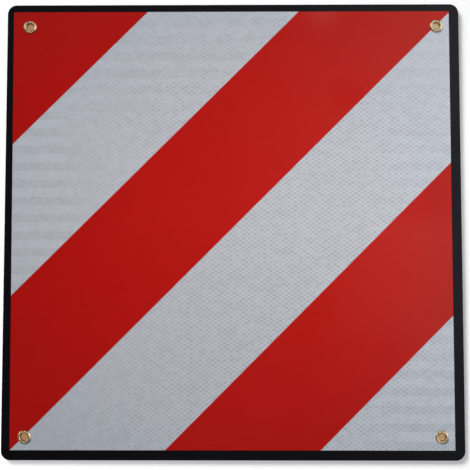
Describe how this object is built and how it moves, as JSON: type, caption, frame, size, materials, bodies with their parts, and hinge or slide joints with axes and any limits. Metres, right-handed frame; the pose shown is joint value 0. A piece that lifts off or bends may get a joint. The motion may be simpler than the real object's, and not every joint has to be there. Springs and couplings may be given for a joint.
{
  "type": "overhanging load sign",
  "caption": "Square rigid hazard sign with diagonal red and white reflective bands, hung by brass eyelets on a load that stands out behind a vehicle.",
  "frame": {"origin": "middle of the outline, at the height of the surface that the sign lies on", "axes": "+Z the way the striped face looks, +Y the sign's upper edge, +X to the right for someone who looks at the face"},
  "size_m": [0.5, 0.5, 0.0068],
  "materials": {
    "black_plastic": "black plastic sheet with a dull, finely grained skin",
    "white_reflective_film": "grey-white prismatic reflective film with small diamond cells under a clear smooth skin",
    "red_print": "translucent red ink over the reflective film, smooth and glossy",
    "brass": "bright rolled brass, slightly dulled"
  },
  "bodies": {
    "root": {"board": "black_plastic", "white_film": "white_reflective_film", "red_band_lower": "red_print", "red_band_middle": "red_print", "red_band_upper": "red_print", "eyelet_top_left": "brass", "washer_top_left": "brass", "eyelet_top_right": "brass", "washer_top_right": "brass", "eyelet_bottom_left": "brass", "washer_bottom_left": "brass", "eyelet_bottom_right": "brass", "washer_bottom_right": "brass"}
  },
  "joints": []
}
